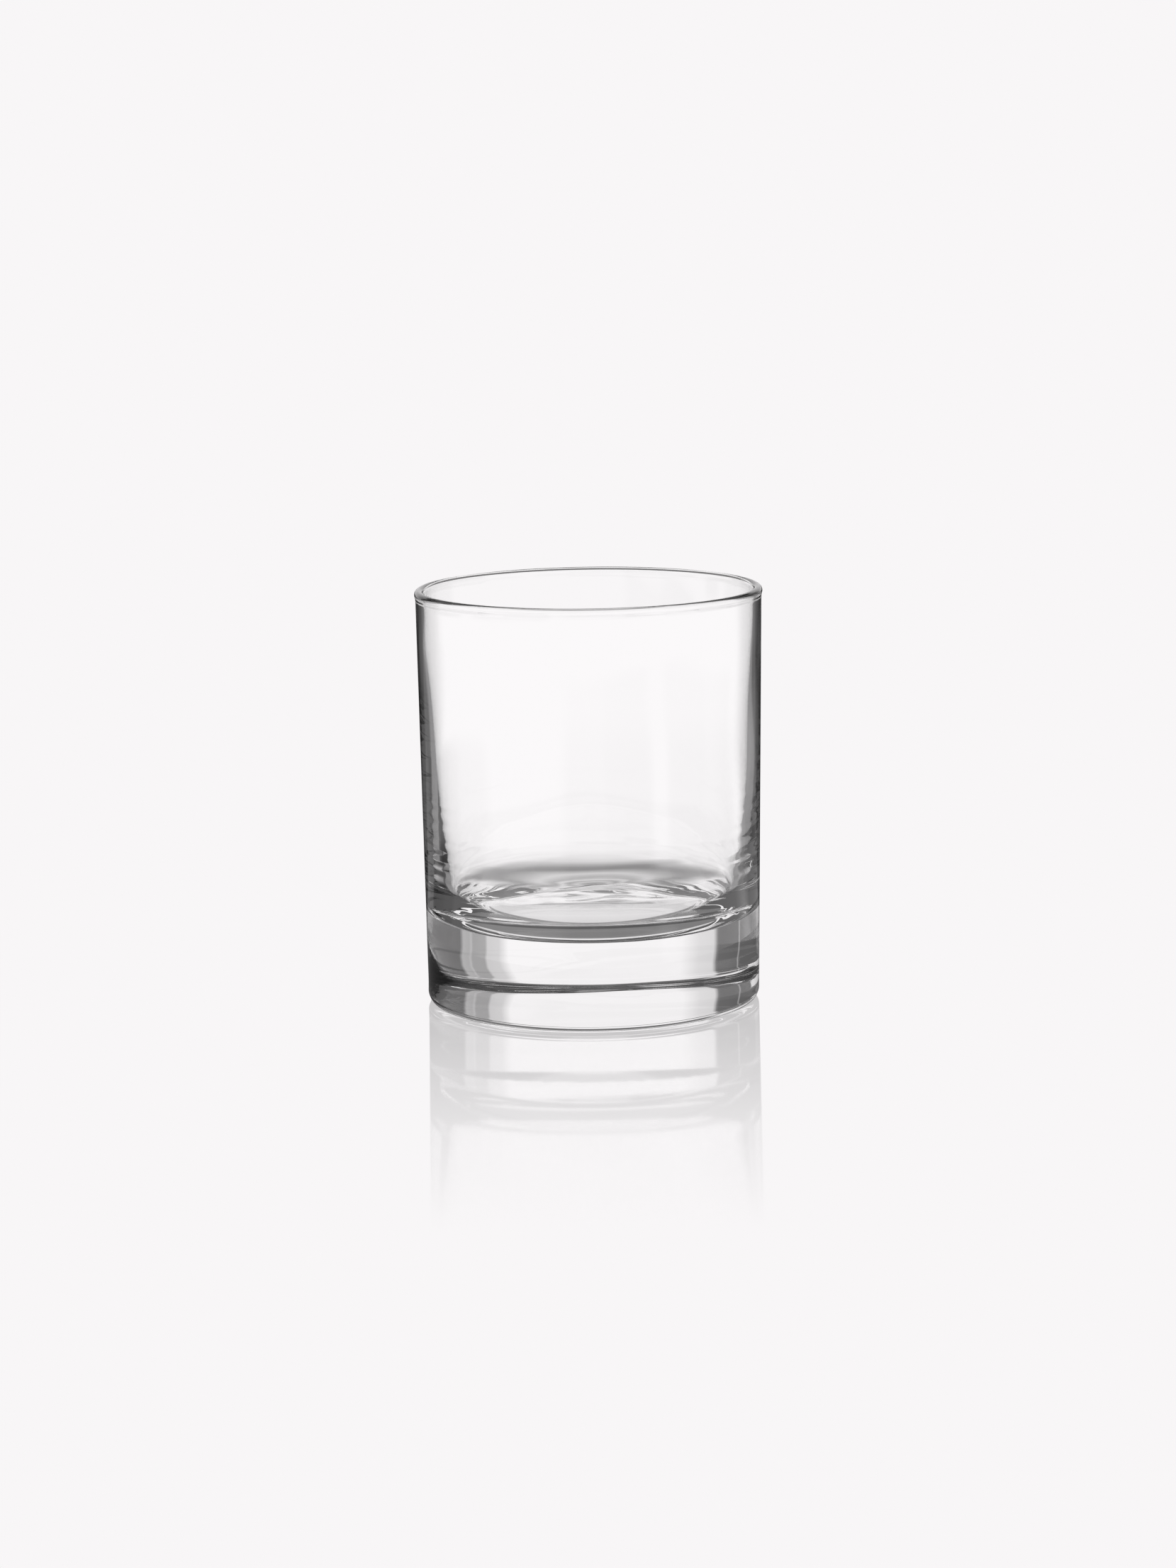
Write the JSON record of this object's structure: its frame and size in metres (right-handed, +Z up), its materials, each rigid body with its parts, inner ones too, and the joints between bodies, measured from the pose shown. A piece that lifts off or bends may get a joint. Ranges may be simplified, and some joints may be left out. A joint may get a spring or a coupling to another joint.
{
  "type": "whiskey tumbler",
  "caption": "Straight-sided clear glass whiskey tumbler with a thin rounded rim, a slightly tapered wall and a heavy solid base.",
  "frame": {"origin": "centre of the plane that the tumbler stands on", "axes": "+Z up along the axis of the glass, out of its mouth; X and Y are any two horizontal directions, because the glass is round"},
  "size_m": [0.0794, 0.0794, 0.0955],
  "materials": {
    "clear_glass": "polished clear"
  },
  "bodies": {
    "root": {"glass_tumbler": "clear_glass"}
  },
  "joints": []
}
